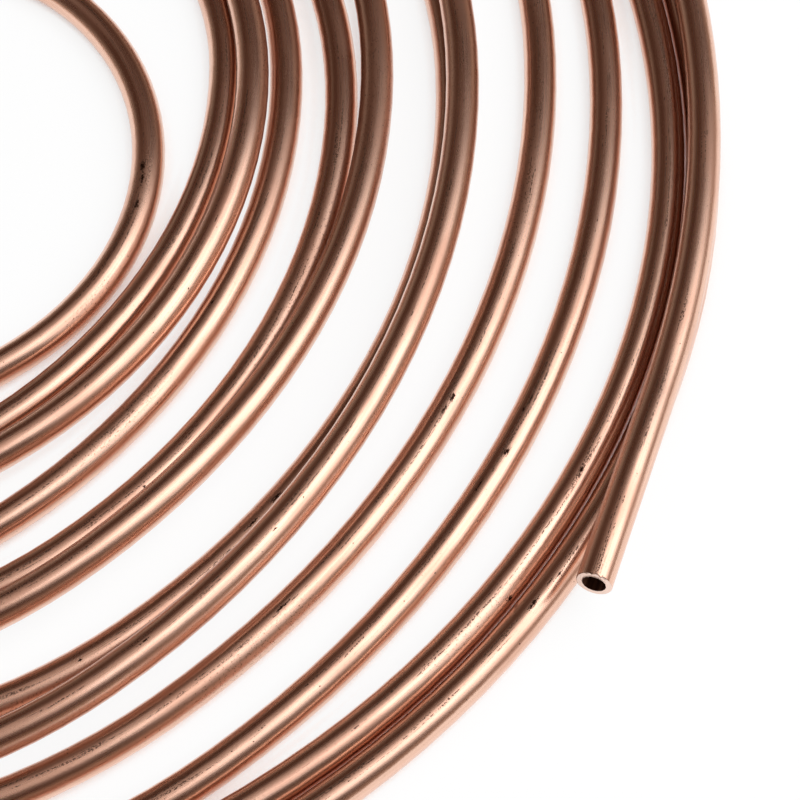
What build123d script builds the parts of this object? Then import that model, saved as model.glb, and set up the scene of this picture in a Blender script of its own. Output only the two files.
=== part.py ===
from build123d import *
from math import cos, radians, sin, sqrt
from typing import NamedTuple
import os

os.makedirs("parts", exist_ok=True)

# Tube, in millimetres
tube_od = 6.0
tube_wall = 1.0
edge_break = 0.15

# Straight ends, in millimetres and degrees; both spring up a little from the coil
inner_tail = 36.0
inner_tail_rise = 8.0
inner_tail_bend = 12.0
outer_tail = 38.0
outer_tail_rise = 5.0
outer_tail_bend = 9.0
outer_tail_heading = -109.0

# Angles are seen from above: 0 is to the right, 90 to the back, and the tube runs clockwise.
inner_tail_from = 60.0
front_from = 2.0
front_to = -52.0
outer_tail_from = -17.5


class Turn(NamedTuple):
    """How one turn lies in the front right quarter, in tube diameters."""

    bend: float
    right: float
    back: float
    lift_in: float = 0.0
    lift_out: float = 0.0


class Side(NamedTuple):
    """How the turns spread out along one side of the coil, in tube diameters."""

    eye: float
    pitch: float
    shift: float


# The coil is laid out in tube diameters, because its loose turns rest against each other.
# From the eye outward: bend radius, bend centre, and the lift where a turn rides on its neighbour.
turns = [
    Turn(8.45, 4.95, -2.80),
    Turn(15.40, 0.20, 0.35),
    Turn(15.20, 1.30, -0.35, lift_in=0.72, lift_out=0.38),
    Turn(18.70, -1.20, 0.05),
    Turn(19.45, -0.25, -0.50),
    Turn(21.65, -1.35, 0.25, lift_in=0.45, lift_out=0.80),
    Turn(23.20, -0.60, -0.05),
    Turn(25.10, -2.20, -0.15, lift_in=0.98, lift_out=0.85),
    Turn(27.60, -2.25, 1.25),
    Turn(28.80, -1.45, 0.70),
    Turn(26.25, 2.90, -1.00),
    Turn(27.30, 2.90, -1.00),
    Turn(32.60, -2.45, -0.35, lift_in=1.02, lift_out=1.02),
]
near_side = Side(eye=12.95, pitch=1.50, shift=0)
left_side = Side(eye=12.33, pitch=1.66, shift=100)
rear_side = Side(eye=12.5, pitch=1.62, shift=220)
unevenness = 0.24
uneven_step = 127.0
side_lift_share = 0.7


def direction(angle, rise=0.0):
    """Unit vector seen from above at an angle, climbing by rise."""
    flat = cos(radians(rise))
    return Vector(flat * cos(radians(angle)), flat * sin(radians(angle)), sin(radians(rise)))


def at(right, back, lift=0.0):
    """Point on the tube's axis, given in tube diameters; with no lift the tube lies on the floor."""
    return Vector(right, back, lift + 0.5) * tube_od


def front(turn, angle, lift):
    """Where a turn stands in the front right quarter, and which way it runs there."""
    spot = direction(angle) * turn.bend
    return at(turn.right + spot.X, turn.back + spot.Y, lift), direction(angle - 90)


def reach(side, number):
    """How far from the coil's centre a turn passes a side; the gaps between turns are uneven."""
    return side.eye + side.pitch * number + unevenness * sin(radians(uneven_step * number + side.shift))


def way_points():
    """Points of the tube's axis with its direction at each, from the end in the eye outward."""
    into_coil, onto_floor = front(turns[0], inner_tail_from, 0)
    leaving = direction(inner_tail_from - 90, -inner_tail_rise)
    points = [(into_coil - (leaving + onto_floor) * inner_tail_bend / 2, leaving), (into_coil, onto_floor)]
    for number, (turn, following) in enumerate(zip(turns, turns[1:])):
        points.append(front(turn, front_to, turn.lift_out))
        points.append((at(0, -reach(near_side, number), turn.lift_out * side_lift_share), direction(180)))
        points.append((at(-reach(left_side, number), 0), direction(90)))
        points.append((at(0, reach(rear_side, number), following.lift_in * side_lift_share), direction(0)))
        points.append(front(following, front_from, following.lift_in))
    off_coil, onward = front(turns[-1], outer_tail_from, turns[-1].lift_out)
    out = direction(outer_tail_heading, outer_tail_rise)
    points += [(off_coil, onward), (off_coil + (onward + out) * outer_tail_bend / 2, out)]
    return points


def two_arcs(start, start_dir, end, end_dir):
    """Two arcs that leave start and reach end in the given directions and meet smoothly."""
    chord = end - start
    along = chord.dot(start_dir + end_dir)
    turning = 2 * (1 - start_dir.dot(end_dir))
    handle = (sqrt(along**2 + turning * chord.dot(chord)) - along) / turning
    meet = (start + end + (start_dir - end_dir) * handle) / 2
    first = TangentArc(start, meet, tangent=start_dir)
    return [first, TangentArc(meet, end, tangent=first % 1)]


def route():
    """The tube's axis from the end in the eye to the outer end: two straight tails and arcs between."""
    points = way_points()
    inner, inward = points[0]
    outer, outward = points[-1]
    runs = [Line(inner - inward * inner_tail, inner)]
    for (start, start_dir), (end, end_dir) in zip(points, points[1:]):
        runs += two_arcs(start, start_dir, end, end_dir)
    runs.append(Line(outer, outer + outward * outer_tail))
    return runs


def wall(runs, radius):
    """The round wall of that radius along every run, and the discs that close its two ends."""
    start = runs[0]
    first_disc = (Plane(start @ 0, z_dir=start % 0) * Circle(radius)).face()
    disc = first_disc
    skin = []
    for run in runs:
        rod = Solid.sweep(disc, run)
        skin += [face for face in rod.faces() if face.geom_type != GeomType.PLANE]
        disc = rod.faces().filter_by(GeomType.PLANE).sort_by_distance(run @ 1)[0]
    return skin, first_disc, disc


def copper_tube():
    """The whole tube, bored from end to end, with the sharp edge taken off both cut ends."""
    runs = route()
    outside, *outer_discs = wall(runs, tube_od / 2)
    bore, *bore_discs = wall(runs, tube_od / 2 - tube_wall)
    cuts = [Face(disc.outer_wire(), [hole.outer_wire()]) for disc, hole in zip(outer_discs, bore_discs)]
    tube = Solid(Shell(outside + bore + cuts))
    return chamfer(tube.faces().filter_by(GeomType.PLANE).edges(), edge_break)


def on_the_floor(shape):
    """The shape moved so that it lies on the floor with the middle of its outline at the origin."""
    box = shape.bounding_box()
    middle = box.center()
    return Pos(-middle.X, -middle.Y, -box.min.Z) * shape


if __name__ == "__main__":
    export_step(on_the_floor(copper_tube()), "parts/copper_tube.step")
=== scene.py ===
from math import ceil, cos, pi, radians, sin, sqrt
from typing import NamedTuple

import bmesh
import bpy
from mathutils import Matrix, Vector, noise


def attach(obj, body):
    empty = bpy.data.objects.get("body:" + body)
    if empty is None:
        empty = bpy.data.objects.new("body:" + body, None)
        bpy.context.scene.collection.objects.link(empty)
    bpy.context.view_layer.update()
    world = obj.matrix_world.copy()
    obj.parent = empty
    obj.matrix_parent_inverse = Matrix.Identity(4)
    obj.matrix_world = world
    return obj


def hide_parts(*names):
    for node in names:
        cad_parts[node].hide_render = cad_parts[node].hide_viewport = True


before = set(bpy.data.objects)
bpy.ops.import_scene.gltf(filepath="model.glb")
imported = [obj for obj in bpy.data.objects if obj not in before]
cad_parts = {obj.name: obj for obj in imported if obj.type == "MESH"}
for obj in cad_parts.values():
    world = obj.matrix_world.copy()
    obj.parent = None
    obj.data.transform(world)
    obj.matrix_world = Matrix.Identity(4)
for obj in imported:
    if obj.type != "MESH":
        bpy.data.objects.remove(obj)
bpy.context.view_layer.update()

# Tube, in metres and degrees
TUBE_OD = 0.006
TUBE_WALL = 0.001
MID_WALL = TUBE_OD / 2 - TUBE_WALL / 2
INNER_TAIL = 0.036
INNER_TAIL_RISE = 8.0
INNER_TAIL_BEND = 0.012
INNER_TAIL_FROM = 60.0
OUTER_TAIL = 0.038
OUTER_TAIL_RISE = 5.0
OUTER_TAIL_BEND = 0.009
OUTER_TAIL_HEADING = -109.0
OUTER_TAIL_FROM = -17.5
RIM = 0.00016
MOUTH_DEPTH = 0.0001
BURR = 0.0006
BURR_TEETH = 2900

# How finely the tube's skin is divided
OUTSIDE_FACETS = 40
BORE_FACETS = 16
LARGEST_SAG = 0.000035
JOIN_WITHIN = TUBE_OD / 500

# From the eye outward, in tube diameters: bend radius, bend centre, and lift on a neighbour
FRONT_FROM = 2.0
FRONT_TO = -52.0
SIDE_LIFT_SHARE = 0.7
UNEVENNESS = 0.24
UNEVEN_STEP = 127.0


class Turn(NamedTuple):
    bend: float
    right: float
    back: float
    lift_in: float = 0.0
    lift_out: float = 0.0


class Side(NamedTuple):
    eye: float
    pitch: float
    shift: float


TURNS = [
    Turn(8.45, 4.95, -2.80),
    Turn(15.40, 0.20, 0.35),
    Turn(15.20, 1.30, -0.35, lift_in=0.72, lift_out=0.38),
    Turn(18.70, -1.20, 0.05),
    Turn(19.45, -0.25, -0.50),
    Turn(21.65, -1.35, 0.25, lift_in=0.45, lift_out=0.80),
    Turn(23.20, -0.60, -0.05),
    Turn(25.10, -2.20, -0.15, lift_in=0.98, lift_out=0.85),
    Turn(27.60, -2.25, 1.25),
    Turn(28.80, -1.45, 0.70),
    Turn(26.25, 2.90, -1.00),
    Turn(27.30, 2.90, -1.00),
    Turn(32.60, -2.45, -0.35, lift_in=1.02, lift_out=1.02),
]
NEAR_SIDE = Side(eye=12.95, pitch=1.50, shift=0)
LEFT_SIDE = Side(eye=12.33, pitch=1.66, shift=100)
REAR_SIDE = Side(eye=12.5, pitch=1.62, shift=220)


class Mark(NamedTuple):
    """A mark on the skin, in metres; its clock is 0 on top and 90 degrees toward the eye of the coil."""

    along: float
    clock: float
    length: float
    width: float

    def spot(self):
        clock = radians(self.clock)
        return Vector((sin(clock) * TUBE_OD / 2, -cos(clock) * TUBE_OD / 2, self.along))


# Black nicks, smudges and hair scratches that stand out on the turns at the front right
NICKS = [
    Mark(0.1035, 10, 0.0024, 0.0010),
    Mark(0.1062, 4, 0.0030, 0.0006),
    Mark(0.1118, 0, 0.0022, 0.0007),
    Mark(1.1851, -42, 0.0004, 0.0004),
    Mark(1.7955, 9, 0.0011, 0.0004),
    Mark(2.5038, -18, 0.0006, 0.0005),
    Mark(3.2463, 46, 0.0004, 0.0004),
    Mark(4.0160, 3, 0.0030, 0.0008),
    Mark(4.0192, -2, 0.0042, 0.0010),
    Mark(4.0222, 2, 0.0026, 0.0005),
    Mark(4.0583, -8, 0.0007, 0.0004),
    Mark(4.8688, -21, 0.0012, 0.0003),
    Mark(4.8968, -4, 0.0026, 0.0004),
    Mark(5.7405, -10, 0.0018, 0.0008),
    Mark(5.7432, -5, 0.0022, 0.0005),
    Mark(5.7884, -1, 0.0032, 0.0005),
    Mark(6.7078, 6, 0.0022, 0.0003),
    Mark(6.7100, 13, 0.0020, 0.0004),
    Mark(6.7190, -6, 0.0014, 0.0010),
    Mark(6.7208, 1, 0.0018, 0.0007),
    Mark(6.7268, 13, 0.0030, 0.0004),
    Mark(7.7508, -5, 0.0012, 0.0006),
    Mark(7.7767, -54, 0.0013, 0.0009),
    Mark(7.7792, -57, 0.0006, 0.0005),
    Mark(8.8567, -6, 0.0005, 0.0004),
    Mark(8.8595, -9, 0.0008, 0.0006),
    Mark(8.8617, 1, 0.0020, 0.0004),
    Mark(8.8663, 0, 0.0034, 0.0006),
    Mark(9.9728, 2, 0.0024, 0.0006),
    Mark(9.9765, -2, 0.0018, 0.0005),
    Mark(9.9796, -5, 0.0014, 0.0005),
    Mark(9.9806, -42, 0.0006, 0.0009),
    Mark(9.9816, -38, 0.0011, 0.0003),
    Mark(9.9851, -20, 0.0007, 0.0004),
    Mark(9.9868, 27, 0.0008, 0.0005),
    Mark(9.9886, -18, 0.0032, 0.00025),
    Mark(9.9911, -30, 0.0012, 0.0004),
    Mark(9.9902, 13, 0.0009, 0.0006),
    Mark(9.9998, 14, 0.0009, 0.0012),
    Mark(9.9999, -18, 0.0008, 0.0016),
]

# Patches where the skin is scuffed and grainy
SCUFFS = [
    Mark(0.1312, -56, 0.0110, 0.0022),
    Mark(0.1080, 2, 0.0090, 0.0020),
    Mark(5.7955, -58, 0.0190, 0.0030),
    Mark(9.9850, -10, 0.0160, 0.0024),
]


def direction(angle, rise=0.0):
    flat = cos(radians(rise))
    return Vector((flat * cos(radians(angle)), flat * sin(radians(angle)), sin(radians(rise))))


def at(right, back, lift=0.0):
    return Vector((right, back, lift + 0.5)) * TUBE_OD


def front(turn, angle, lift):
    spot = direction(angle) * turn.bend
    return at(turn.right + spot.x, turn.back + spot.y, lift), direction(angle - 90)


def reach(side, number):
    return side.eye + side.pitch * number + UNEVENNESS * sin(radians(UNEVEN_STEP * number + side.shift))


def way_points():
    """Where the tube's axis passes and how it heads there, from the end in the eye outward."""
    into_coil, onto_floor = front(TURNS[0], INNER_TAIL_FROM, 0)
    leaving = direction(INNER_TAIL_FROM - 90, -INNER_TAIL_RISE)
    points = [(into_coil - (leaving + onto_floor) * INNER_TAIL_BEND / 2, leaving), (into_coil, onto_floor)]
    for number, (turn, following) in enumerate(zip(TURNS, TURNS[1:])):
        points.append(front(turn, FRONT_TO, turn.lift_out))
        points.append((at(0, -reach(NEAR_SIDE, number), turn.lift_out * SIDE_LIFT_SHARE), direction(180)))
        points.append((at(-reach(LEFT_SIDE, number), 0), direction(90)))
        points.append((at(0, reach(REAR_SIDE, number), following.lift_in * SIDE_LIFT_SHARE), direction(0)))
        points.append(front(following, FRONT_FROM, following.lift_in))
    off_coil, onward = front(TURNS[-1], OUTER_TAIL_FROM, TURNS[-1].lift_out)
    out = direction(OUTER_TAIL_HEADING, OUTER_TAIL_RISE)
    points += [(off_coil, onward), (off_coil + (onward + out) * OUTER_TAIL_BEND / 2, out)]
    return points


class Run(NamedTuple):
    """One stretch of tube: straight along step, or bent about an axis through centre."""

    length: float
    steps: int
    step: Vector = Vector()
    centre: Vector = Vector()
    axis: Vector = Vector((0, 0, 1))
    angle: float = 0.0

    def motion(self):
        turned = Matrix.Translation(self.centre) @ Matrix.Rotation(self.angle, 4, self.axis)
        return Matrix.Translation(self.step * self.steps) @ turned @ Matrix.Translation(-self.centre)


def straight(heading, length):
    return Run(length, 1, step=heading * length)


def bent(start, heading, end):
    chord = end - start
    axis = heading.cross(chord).normalized()
    angle = 2 * heading.angle(chord)
    radius = chord.length / 2 / sin(angle / 2)
    length = radius * angle
    steps = ceil(length / sqrt(8 * radius * LARGEST_SAG))
    return Run(length, steps, centre=start + axis.cross(heading) * radius, axis=axis, angle=angle)


def two_bends(start, heading, end, end_heading):
    """Two bends that leave start and reach end in the given headings and meet smoothly."""
    chord = end - start
    along = chord.dot(heading + end_heading)
    turning = 2 * (1 - heading.dot(end_heading))
    handle = (sqrt(along**2 + turning * chord.length_squared) - along) / turning
    meet = (start + end + (heading - end_heading) * handle) / 2
    first = bent(start, heading, meet)
    return [first, bent(meet, first.motion().to_3x3() @ heading, end)]


def runs_of_tube():
    points = way_points()
    runs = [straight(points[0][1], INNER_TAIL)]
    for (start, heading), (end, end_heading) in zip(points, points[1:]):
        runs += two_bends(start, heading, end, end_heading)
    return runs + [straight(points[-1][1], OUTER_TAIL)]


def draw_run(run, stance, along):
    """One run's skin; its points keep their place in the tube's section and along the tube."""
    bm = bmesh.new()
    drawn = bm.verts.layers.float_vector.new("drawn")
    for facets, radius in ((OUTSIDE_FACETS, TUBE_OD / 2), (BORE_FACETS, TUBE_OD / 2 - TUBE_WALL)):
        bmesh.ops.create_circle(bm, segments=facets, radius=radius, matrix=stance)
    to_section = stance.inverted()
    for point in bm.verts:
        point[drawn] = to_section @ point.co
    ring = len(bm.verts)
    bmesh.ops.spin(
        bm,
        geom=bm.verts[:] + bm.edges[:],
        cent=run.centre,
        axis=run.axis,
        angle=run.angle,
        dvec=run.step,
        steps=run.steps,
    )
    for number, point in enumerate(bm.verts):
        point[drawn].z = along + run.length * (number // ring) / run.steps
    mesh = bpy.data.meshes.new("run")
    bm.to_mesh(mesh)
    bm.free()
    return mesh


def across_section(point, drawn):
    return sqrt(point[drawn].x ** 2 + point[drawn].y ** 2)


def cut_end(bm, edges, inward):
    """Closes one cut end, with the bore's mouth reamed a little deeper and both rims rounded."""
    drawn = bm.verts.layers.float_vector["drawn"]
    ring = {point for edge in edges for point in edge.verts}
    mouth = [point for point in ring if across_section(point, drawn) < MID_WALL]
    bmesh.ops.translate(bm, verts=mouth, vec=inward * MOUTH_DEPTH)
    bmesh.ops.bridge_loops(bm, edges=edges)
    bmesh.ops.bevel(
        bm,
        geom=edges,
        affect="EDGES",
        offset=RIM,
        segments=2,
        profile=0.5,
        material=-1,
    )


def cut_ends(bm, inward, outward):
    drawn = bm.verts.layers.float_vector["drawn"]
    open_edges = [edge for edge in bm.edges if edge.is_boundary]
    inner = [edge for edge in open_edges if edge.verts[0][drawn].z < INNER_TAIL]
    outer = [edge for edge in open_edges if edge not in set(inner)]
    cut_end(bm, inner, inward)
    cut_end(bm, outer, -outward)


def raise_burr(bm, outward):
    """The ragged lip that the cutter left on the upper edge of the outer end."""
    drawn = bm.verts.layers.float_vector["drawn"]
    far_end = max(point[drawn].z for point in bm.verts)
    lip = [point for point in bm.verts if far_end - point[drawn].z < 3 * RIM]
    upper = [point for point in lip if -point[drawn].y > TUBE_OD * 0.36]
    along_floor = Vector((outward.x, outward.y, 0)).normalized()
    for point in upper:
        if across_section(point, drawn) > MID_WALL:
            point.co += along_floor * BURR * max(0.0, noise.noise(point[drawn] * BURR_TEETH) + 0.2)


def part_the_finishes(bm):
    """Skin, cut ends and bore take finish 0, 1 and 2."""
    drawn = bm.verts.layers.float_vector["drawn"]
    far_end = max(point[drawn].z for point in bm.verts)
    for face in bm.faces:
        from_end = max(min(point[drawn].z, far_end - point[drawn].z) for point in face.verts)
        if from_end < MOUTH_DEPTH + RIM:
            face.material_index = 1
        elif max(across_section(point, drawn) for point in face.verts) < MID_WALL:
            face.material_index = 2


def keep_marks(bm, name, marks):
    """Each face keeps the spot and span of the mark nearest to it, or of one that lies off the skin."""
    drawn = bm.verts.layers.float_vector["drawn"]
    spot_of = bm.faces.layers.float_vector.new(name + "_spot")
    span_of = bm.faces.layers.float_vector.new(name + "_span")
    spans = [Vector((mark.width, mark.width, mark.length)) for mark in marks]
    spots = [mark.spot() for mark in marks]
    for face in bm.faces:
        face[spot_of] = (1, 0, 0)
        face[span_of] = (TUBE_WALL, TUBE_WALL, TUBE_WALL)
        along = face.verts[0][drawn].z
        near = [
            (spot, span)
            for mark, spot, span in zip(marks, spots, spans)
            if abs(mark.along - along) < mark.length + TUBE_OD
        ]
        if near:
            middle = sum((point[drawn] for point in face.verts), Vector()) / len(face.verts)
            face[spot_of], face[span_of] = min(near, key=lambda kept: spans_away(middle, *kept))


def spans_away(place, spot, span):
    offset = place - spot
    return Vector((offset.x / span.x, offset.y / span.y, offset.z / span.z)).length


def settle_on_floor(bm):
    """Brings the middle of the coil's outline over the origin, with its lowest side on the floor."""
    sides = [[point.co[axis] for point in bm.verts] for axis in range(3)]
    middle = Vector((max(sides[0]) + min(sides[0]), max(sides[1]) + min(sides[1]), 2 * min(sides[2]))) / 2
    bmesh.ops.translate(bm, verts=bm.verts, vec=-middle)


def order_faces(bm):
    """Lists the faces by their points, because spin's own order differs from run to run."""
    bm.verts.index_update()
    by_points = sorted(bm.faces, key=lambda face: sorted(point.index for point in face.verts))
    for number, face in enumerate(by_points):
        face.index = number
    bm.faces.sort()


def make_coil():
    runs = runs_of_tube()
    start, heading = way_points()[0]
    across = heading.cross(Vector((0, 0, 1))).normalized()
    stance = Matrix.Translation(start - heading * INNER_TAIL)
    stance @= Matrix((across, heading.cross(across), heading)).transposed().to_4x4()
    along = 0.0
    bm = bmesh.new()
    for run in runs:
        piece = draw_run(run, stance, along)
        bm.from_mesh(piece)
        bpy.data.meshes.remove(piece)
        stance = run.motion() @ stance
        along += run.length
    bmesh.ops.remove_doubles(bm, verts=bm.verts, dist=JOIN_WITHIN)
    outward = way_points()[-1][1]
    cut_ends(bm, heading, outward)
    raise_burr(bm, outward)
    part_the_finishes(bm)
    keep_marks(bm, "nick", NICKS)
    keep_marks(bm, "scuff", SCUFFS)
    bmesh.ops.recalc_face_normals(bm, faces=bm.faces)
    settle_on_floor(bm)
    order_faces(bm)
    mesh = bpy.data.meshes.new("coil")
    bm.to_mesh(mesh)
    bm.free()
    mesh.shade_smooth()
    coil = bpy.data.objects.new("coil", mesh)
    bpy.context.scene.collection.objects.link(coil)
    return coil


def node_group(name, inputs, outputs):
    """An empty node group with its named sockets, and its input and output nodes."""
    group = bpy.data.node_groups.new(name, "ShaderNodeTree")
    for label, kind, value in inputs:
        socket = group.interface.new_socket(label, in_out="INPUT", socket_type=kind)
        if value is not None:
            socket.default_value = value
    for label, kind in outputs:
        group.interface.new_socket(label, in_out="OUTPUT", socket_type=kind)
    return group, group.nodes.new("NodeGroupInput"), group.nodes.new("NodeGroupOutput")


def calculate(tree, operation, first, second=None, third=None):
    """A Math node; each value is a number or a socket."""
    node = tree.nodes.new("ShaderNodeMath")
    node.operation = operation
    for socket, value in zip(node.inputs, (first, second, third)):
        if isinstance(value, bpy.types.NodeSocket):
            tree.links.new(value, socket)
        elif value is not None:
            socket.default_value = value
    return node.outputs[0]


def spread(tree, value, low, high, to_low=0.0, to_high=1.0):
    """The value taken smoothly from one range to another, and held at its ends."""
    node = tree.nodes.new("ShaderNodeMapRange")
    node.interpolation_type = "SMOOTHSTEP"
    for label, number in (("From Min", low), ("From Max", high), ("To Min", to_low), ("To Max", to_high)):
        node.inputs[label].default_value = number
    tree.links.new(value, node.inputs["Value"])
    return node.outputs["Result"]


def vector_step(tree, operation, first, second=None):
    """A Vector Math node on one or two sockets."""
    node = tree.nodes.new("ShaderNodeVectorMath")
    node.operation = operation
    tree.links.new(first, node.inputs[0])
    if second:
        tree.links.new(second, node.inputs[1])
    return node.outputs


def part_of(tree, place, axis):
    """One of a place's three numbers."""
    node = tree.nodes.new("ShaderNodeSeparateXYZ")
    tree.links.new(place, node.inputs[0])
    return node.outputs[axis]


def grain(tree, place, across, along, detail=2.0, roughness=0.5):
    """Soft noise whose size is given in cells per metre, round the section and along the tube."""
    node = tree.nodes.new("ShaderNodeTexNoise")
    node.inputs["Scale"].default_value = 1
    node.inputs["Detail"].default_value = detail
    node.inputs["Roughness"].default_value = roughness
    mapping = tree.nodes.new("ShaderNodeMapping")
    mapping.inputs["Scale"].default_value = (across, across, along)
    tree.links.new(place, mapping.inputs["Vector"])
    tree.links.new(mapping.outputs["Vector"], node.inputs["Vector"])
    return node.outputs["Fac"]


def draw_lines():
    """Lines that the drawing die leaves along the tube."""
    group, start, end = node_group(
        "draw_lines",
        [("Place", "NodeSocketVector", None)],
        [("Height", "NodeSocketFloat"), ("Mask", "NodeSocketFloat")],
    )
    place = start.outputs["Place"]
    fine = grain(group, place, 5200, 60, detail=1)
    broad = grain(group, place, 1600, 22, detail=1)
    height = calculate(group, "MULTIPLY_ADD", broad, 1.6, fine)
    group.links.new(height, end.inputs["Height"])
    group.links.new(spread(group, broad, 0.35, 0.7), end.inputs["Mask"])
    return group


def attribute(tree, name):
    node = tree.nodes.new("ShaderNodeAttribute")
    node.attribute_name = name
    return node.outputs["Vector"]


def marks_laid(tree, place, name, uneven, size):
    """The marks kept on the faces under that name, as one mask with an uneven outline."""
    offset = vector_step(tree, "SUBTRACT", place, attribute(tree, name + "_spot"))["Vector"]
    in_spans = vector_step(tree, "DIVIDE", offset, attribute(tree, name + "_span"))["Vector"]
    distance = vector_step(tree, "LENGTH", in_spans)["Value"]
    ragged = calculate(tree, "MULTIPLY_ADD", uneven, 2.2, distance)
    return spread(tree, ragged, 1.1 + size, 0.97 + size)


def ridge(tree, place):
    """The very top of the tube, where the turns rub on what is laid over them."""
    return spread(tree, part_of(tree, place, "Y"), -TUBE_OD * 0.478, -TUBE_OD * 0.494)


def outward_painted_shade(tree, place):
    """A share, up to 0.45, for the side of the tube that faces away from the coil's eye, where shade is
    painted for mirrored rays.
    """
    return spread(tree, part_of(tree, place, "X"), TUBE_OD * 0.1, -TUBE_OD * 0.2, 0.0, 0.45)


def nicks():
    """Short dark nicks along the tube; Share is the part of the cells that has one."""
    group, start, end = node_group(
        "nicks",
        [
            ("Place", "NodeSocketVector", None),
            ("Across", "NodeSocketFloat", 1000.0),
            ("Along", "NodeSocketFloat", 250.0),
            ("Share", "NodeSocketFloat", 0.1),
            ("Size", "NodeSocketFloat", 0.2),
        ],
        [("Mask", "NodeSocketFloat")],
    )
    stretch = group.nodes.new("ShaderNodeCombineXYZ")
    for axis, label in (("X", "Across"), ("Y", "Across"), ("Z", "Along")):
        group.links.new(start.outputs[label], stretch.inputs[axis])
    scaled = vector_step(group, "MULTIPLY", start.outputs["Place"], stretch.outputs["Vector"])
    cells = group.nodes.new("ShaderNodeTexVoronoi")
    cells.inputs["Scale"].default_value = 1
    group.links.new(scaled["Vector"], cells.inputs["Vector"])
    chance = group.nodes.new("ShaderNodeSeparateColor")
    group.links.new(cells.outputs["Color"], chance.inputs["Color"])
    picked = calculate(group, "LESS_THAN", chance.outputs["Red"], start.outputs["Share"])
    width = calculate(group, "MULTIPLY_ADD", chance.outputs["Green"], start.outputs["Size"], 0.04)
    inside = calculate(group, "SUBTRACT", 1.0, calculate(group, "DIVIDE", cells.outputs["Distance"], width))
    inside = spread(group, inside, 0.0, 0.25)
    group.links.new(calculate(group, "MULTIPLY", picked, inside), end.inputs["Mask"])
    return group


def place_group(tree, group, place, **values):
    node = tree.nodes.new("ShaderNodeGroup")
    node.node_tree = group
    tree.links.new(place, node.inputs["Place"])
    for label, value in values.items():
        node.inputs[label.capitalize()].default_value = value
    return node


def mixed(tree, share, first, second):
    """One colour laid over another; each colour is a tuple or a socket."""
    node = tree.nodes.new("ShaderNodeMix")
    node.data_type = "RGBA"
    tree.links.new(share, node.inputs["Factor"])
    for label, colour in (("A", first), ("B", second)):
        socket = next(s for s in node.inputs if s.name == label and s.type == "RGBA")
        if isinstance(colour, bpy.types.NodeSocket):
            tree.links.new(colour, socket)
        else:
            socket.default_value = colour
    return next(s for s in node.outputs if s.type == "RGBA")


def copper(name):
    material = bpy.data.materials.new(name)
    material.use_nodes = True
    shader = material.node_tree.nodes["Principled BSDF"]
    shader.inputs["Metallic"].default_value = 1
    return material, material.node_tree, shader


def bump(tree, shader, height, depth):
    node = tree.nodes.new("ShaderNodeBump")
    node.inputs["Distance"].default_value = depth
    tree.links.new(height, node.inputs["Height"])
    tree.links.new(node.outputs["Normal"], shader.inputs["Normal"])


BARE_METAL = (0.93, 0.60, 0.46, 1)
DULL_METAL = (0.80, 0.44, 0.31, 1)
DARK_STREAK = (0.62, 0.31, 0.20, 1)
SPECK = (0.34, 0.15, 0.09, 1)
WORN = (0.045, 0.018, 0.011, 1)
PAINTED_SHADE_BLACK = (0, 0, 0, 1)
CUT_METAL = (0.98, 0.76, 0.66, 1)
BORE_PAINTED_SHADE = (0.05, 0.018, 0.011, 1)
BORE_PAINTED_SHADE_STREAK = (0.13, 0.055, 0.035, 1)
SKIN_RELIEF = 0.0000045
CUT_RELIEF = 0.00002
BORE_RELIEF = 0.00001
GLOSS = 0.3


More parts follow.
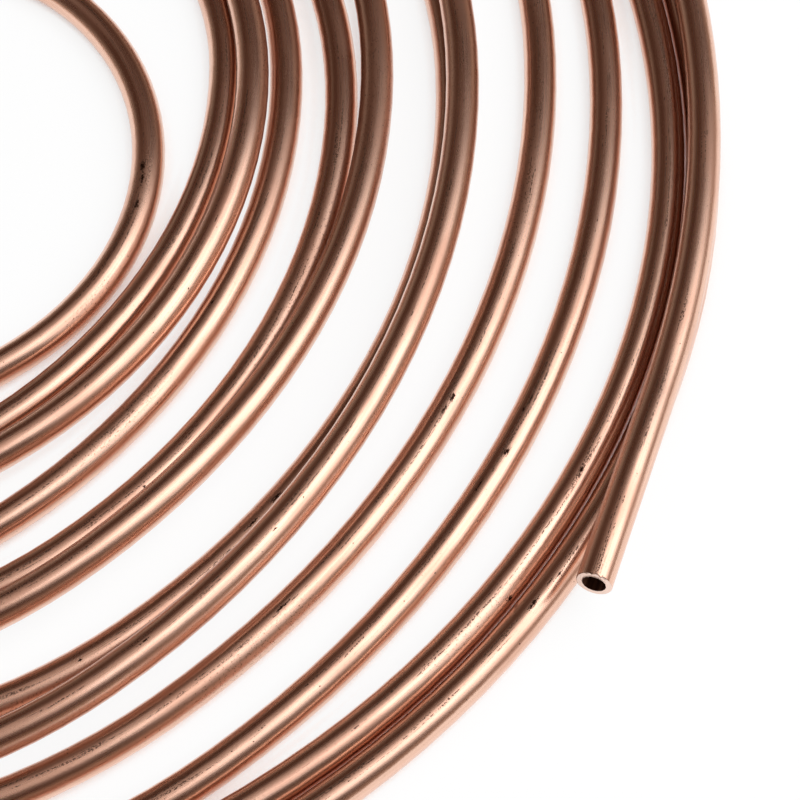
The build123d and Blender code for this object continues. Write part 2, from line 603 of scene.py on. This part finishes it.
def bright_copper(lines):
    """The tube's skin: drawn bright, with a satin bloom, nicks, pits, scores, scuffs and dull patches, and
    painted shade on its outward side where other turns mirror it.
    """
    material, tree, shader = copper("bright_copper")
    shader.inputs["Coat Roughness"].default_value = 0.15
    place = attribute(tree, "drawn")
    drawn = place_group(tree, lines, place)
    scattered = nicks()
    long_nicks = place_group(tree, scattered, place, across=2200, along=330, share=0.24, size=0.5)
    pits = place_group(tree, scattered, place, across=2600, along=2000, share=0.035, size=0.36)
    dull = spread(tree, grain(tree, place, 300, 50, detail=1), 0.48, 0.72)
    streaks = spread(tree, grain(tree, place, 2200, 38, detail=2, roughness=0.6), 0.36, 0.66)
    uneven = grain(tree, place, 5000, 2600, detail=2, roughness=0.65)
    rough_spells = spread(tree, grain(tree, place, 130, 16, detail=1), 0.6, 0.74)
    rough = calculate(tree, "MAXIMUM", rough_spells, marks_laid(tree, place, "scuff", uneven, 0.75))
    speckle = grain(tree, place, 3900, 2800, detail=2, roughness=0.75)
    speck_share = calculate(tree, "MULTIPLY_ADD", rough, 0.8, 0.2)
    specks = calculate(tree, "MULTIPLY", spread(tree, speckle, 0.57, 0.68), speck_share)
    rubbed = spread(tree, grain(tree, place, 2600, 90, detail=1), 0.56, 0.62)
    worn = calculate(tree, "MAXIMUM", long_nicks.outputs["Mask"], rubbed)
    worn = calculate(tree, "MULTIPLY", worn, ridge(tree, place))
    worn = calculate(tree, "MAXIMUM", worn, pits.outputs["Mask"])
    worn = calculate(tree, "MULTIPLY", worn, spread(tree, uneven, 0.46, 0.54, 0, 0.85))
    worn = calculate(tree, "MAXIMUM", worn, marks_laid(tree, place, "nick", uneven, 0.46))
    colour = mixed(tree, calculate(tree, "MULTIPLY", dull, 0.5), BARE_METAL, DULL_METAL)
    colour = mixed(tree, calculate(tree, "MULTIPLY", streaks, 0.22), colour, DARK_STREAK)
    colour = mixed(tree, specks, colour, SPECK)
    colour = mixed(tree, worn, colour, WORN)
    # Painted shade: glossy rays see the outward side of the skin turned toward black, so other turns mirror
    # it darker.
    path = tree.nodes.new("ShaderNodeLightPath")
    painted_shade_in_reflections = calculate(tree, "MULTIPLY", path.outputs["Is Glossy Ray"], outward_painted_shade(tree, place))
    tree.links.new(mixed(tree, painted_shade_in_reflections, colour, PAINTED_SHADE_BLACK), shader.inputs["Base Color"])
    finish = calculate(tree, "MULTIPLY_ADD", dull, 0.06, 0.24)
    finish = calculate(tree, "MULTIPLY_ADD", streaks, 0.04, finish)
    finish = calculate(tree, "MULTIPLY_ADD", rough, 0.08, finish)
    tree.links.new(calculate(tree, "MULTIPLY_ADD", worn, 0.3, finish), shader.inputs["Roughness"])
    tree.links.new(calculate(tree, "MULTIPLY_ADD", worn, -GLOSS, GLOSS), shader.inputs["Coat Weight"])
    tooth = calculate(tree, "MULTIPLY", speckle, calculate(tree, "MULTIPLY_ADD", rough_spells, 3.0, 1.2))
    bump(tree, shader, calculate(tree, "ADD", drawn.outputs["Height"], tooth), SKIN_RELIEF)
    return material


def cut_copper():
    """Freshly cut metal on the end faces."""
    material, tree, shader = copper("cut_copper")
    shader.inputs["Base Color"].default_value = CUT_METAL
    bump(tree, shader, grain(tree, attribute(tree, "drawn"), 2600, 2600, detail=3), CUT_RELIEF)
    return material


def bore_copper(lines):
    """Near-black metal inside the bore as painted shade, a little lighter along the draw lines."""
    material, tree, shader = copper("bore_copper")
    drawn = place_group(tree, lines, attribute(tree, "drawn"))
    # Painted shade: the bore is coloured near black, and lighter where the draw lines' mask is high.
    colour = mixed(tree, drawn.outputs["Mask"], BORE_PAINTED_SHADE, BORE_PAINTED_SHADE_STREAK)
    tree.links.new(colour, shader.inputs["Base Color"])
    bump(tree, shader, drawn.outputs["Height"], BORE_RELIEF)
    return material


FLOOR_REACH = 3.0


def paper_floor():
    bm = bmesh.new()
    bmesh.ops.create_grid(bm, x_segments=1, y_segments=1, size=FLOOR_REACH)
    mesh = bpy.data.meshes.new("paper_floor")
    bm.to_mesh(mesh)
    bm.free()
    floor = bpy.data.objects.new("paper_floor", mesh)
    bpy.context.scene.collection.objects.link(floor)
    mesh.materials.append(white_paper())


def seen_share(tree, straight, mirrored):
    """A surface's own share of what is seen straight or by way of metal or glass; none as light."""
    path = tree.nodes.new("ShaderNodeLightPath")
    share = calculate(tree, "MULTIPLY", path.outputs["Is Camera Ray"], straight)
    for ray in ("Is Glossy Ray", "Is Transmission Ray"):
        share = calculate(tree, "MULTIPLY_ADD", path.outputs[ray], mirrored, share)
    return share


WHITE = (1, 1, 1, 1)
PAPER = (0.9, 0.9, 0.9, 1)
PAPER_PAINTED_COPPER_BOUNCE = (0.95, 0.62, 0.48, 1)
COPPER_SHADE = (0.42, 0.16, 0.09, 1)
CREVICE_SHADE_REACH = 0.004


def white_paper():
    """Paper that looks white to the eye and in the metal; where turns close over it, its matt colour holds
    painted copper bounce light and what the metal sees of it holds painted copper-brown shade.
    """
    material = bpy.data.materials.new("white_paper")
    material.use_nodes = True
    tree = material.node_tree
    tree.nodes.clear()
    matt = tree.nodes.new("ShaderNodeBsdfDiffuse")
    bright = tree.nodes.new("ShaderNodeEmission")
    mix = tree.nodes.new("ShaderNodeMixShader")
    out = tree.nodes.new("ShaderNodeOutputMaterial")
    # Painted light in the crevices: where ambient occlusion closes in, the matt colour turns copper as
    # painted bounce light, and the glow that metal mirrors turns brown as painted shade.
    crevice_shade = tree.nodes.new("ShaderNodeAmbientOcclusion")
    crevice_shade.samples = 2
    crevice_shade.inputs["Distance"].default_value = CREVICE_SHADE_REACH
    clear_of_painted_crevice_light = spread(tree, crevice_shade.outputs["AO"], 0.28, 0.52)
    tree.links.new(mixed(tree, clear_of_painted_crevice_light, PAPER_PAINTED_COPPER_BOUNCE, PAPER), matt.inputs["Color"])
    tree.links.new(mixed(tree, clear_of_painted_crevice_light, COPPER_SHADE, WHITE), bright.inputs["Color"])
    own = calculate(tree, "MULTIPLY_ADD", seen_share(tree, 0.88, 0.32), clear_of_painted_crevice_light, seen_share(tree, 0, 0.36))
    tree.links.new(own, mix.inputs["Fac"])
    tree.links.new(matt.outputs[0], mix.inputs[1])
    tree.links.new(bright.outputs[0], mix.inputs[2])
    tree.links.new(mix.outputs[0], out.inputs["Surface"])
    return material


HOOD_RADIUS = 2.5
HORIZON_LEFT = (0.30, 0.25, 0.21, 1)
HORIZON_RIGHT = (0.36, 0.26, 0.20, 1)
DARK_CLOTH = (0.055, 0.025, 0.015, 1)
TOP_GLOW = (0.42, 0.34, 0.30, 1)


def height_of(elevation):
    return HOOD_RADIUS * sin(radians(elevation))


def dark_hood():
    """A dark tent round the table, which only the metal's reflections see: a painted reflection that glows,
    darkest in its middle band and brighter at the horizon and the top.
    """
    bm = bmesh.new()
    bmesh.ops.create_uvsphere(bm, u_segments=32, v_segments=16, radius=HOOD_RADIUS)
    mesh = bpy.data.meshes.new("dark_hood")
    bm.to_mesh(mesh)
    bm.free()
    hood = bpy.data.objects.new("dark_hood", mesh)
    bpy.context.scene.collection.objects.link(hood)
    hood.visible_camera = False
    hood.visible_diffuse = False
    hood.visible_transmission = False
    hood.visible_shadow = False
    material = bpy.data.materials.new("tent_painted_reflection")
    material.use_nodes = True
    tree = material.node_tree
    tree.nodes.clear()
    place = tree.nodes.new("ShaderNodeTexCoord").outputs["Object"]
    level = part_of(tree, place, "Z")
    sides = spread(tree, level, height_of(0), height_of(34))
    top = spread(tree, level, height_of(51), height_of(80))
    toward_right = spread(tree, part_of(tree, place, "X"), -0.5 * HOOD_RADIUS, 0.3 * HOOD_RADIUS)
    colour = mixed(tree, sides, mixed(tree, toward_right, HORIZON_LEFT, HORIZON_RIGHT), DARK_CLOTH)
    # Painted reflection: the tent's colours are emitted, not lit.
    glow = tree.nodes.new("ShaderNodeEmission")
    tree.links.new(mixed(tree, top, colour, TOP_GLOW), glow.inputs["Color"])
    out = tree.nodes.new("ShaderNodeOutputMaterial")
    tree.links.new(glow.outputs[0], out.inputs["Surface"])
    mesh.materials.append(material)


VIEW_CENTRE = Vector((0.128, -0.069, 0.003))


def softbox(name, azimuth, elevation, distance, width, height, edges, brightness, roll=0.0):
    """A lamp whose diffuser fades over its edges, given as shares of its width and height."""
    lamp = bpy.data.lights.new(name, "AREA")
    lamp.shape = "RECTANGLE"
    lamp.size = width
    lamp.size_y = height
    lamp.energy = brightness * pi * width * height
    lamp.use_nodes = True
    tree = lamp.node_tree
    place = tree.nodes.new("ShaderNodeNewGeometry").outputs["Parametric"]
    fade = 1.0
    for axis, edge in zip("XY", edges):
        from_middle = calculate(tree, "SUBTRACT", part_of(tree, place, axis), 0.5)
        from_middle = calculate(tree, "ABSOLUTE", from_middle)
        fade = calculate(tree, "MULTIPLY", spread(tree, from_middle, 0.5, 0.5 - edge), fade)
    tree.links.new(fade, tree.nodes["Emission"].inputs["Strength"])
    holder = bpy.data.objects.new(name, lamp)
    holder.location = VIEW_CENTRE + direction(azimuth, elevation) * distance
    facing = direction(azimuth, elevation).to_track_quat("Z", "Y").to_matrix()
    holder.rotation_euler = (facing @ Matrix.Rotation(-radians(roll), 3, "Z")).to_euler()
    holder.visible_camera = False
    bpy.context.scene.collection.objects.link(holder)
    return holder


def white_backdrop():
    """A white room to the eye and in the metal, and a quarter of that as light."""
    world = bpy.data.worlds.new("studio")
    world.use_nodes = True
    tree = world.node_tree
    backdrop = tree.nodes["Background"]
    backdrop.inputs["Color"].default_value = WHITE
    strength = tree.nodes.new("ShaderNodeMapRange")
    strength.inputs["To Min"].default_value = 0.25
    strength.inputs["To Max"].default_value = 1.0
    tree.links.new(seen_share(tree, 1, 1), strength.inputs["Value"])
    tree.links.new(strength.outputs[0], backdrop.inputs["Strength"])
    bpy.context.scene.world = world


SENSOR_WIDTH = 36
FOCAL_LENGTH = 104.27
EYE = (0.12777, -0.26664, 0.3451)
TILT = 30


def camera():
    lens = bpy.data.cameras.new("camera")
    lens.sensor_width = SENSOR_WIDTH
    lens.lens = FOCAL_LENGTH
    holder = bpy.data.objects.new("camera", lens)
    holder.location = EYE
    holder.rotation_euler = (radians(TILT), 0, 0)
    bpy.context.scene.collection.objects.link(holder)
    bpy.context.scene.camera = holder


coil = make_coil()
lines = draw_lines()
for finish in (bright_copper(lines), cut_copper(), bore_copper(lines)):
    coil.data.materials.append(finish)
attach(coil, "root")
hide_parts("copper_tube")
paper_floor()
dark_hood()
softbox("softbox", 5, 51.5, 1.0, 1.34, 1.56, (0.38, 0.35), 1.95, roll=3)
softbox("far_softbox", 215, 50, 1.2, 0.9, 0.9, (0.3, 0.3), 0.6)
softbox("paper_softbox", -10, 52, 1.0, 1.3, 1.5, (0.1, 0.1), 2.0).visible_glossy = False
white_backdrop()
bpy.context.scene.view_settings.view_transform = "Standard"
camera()
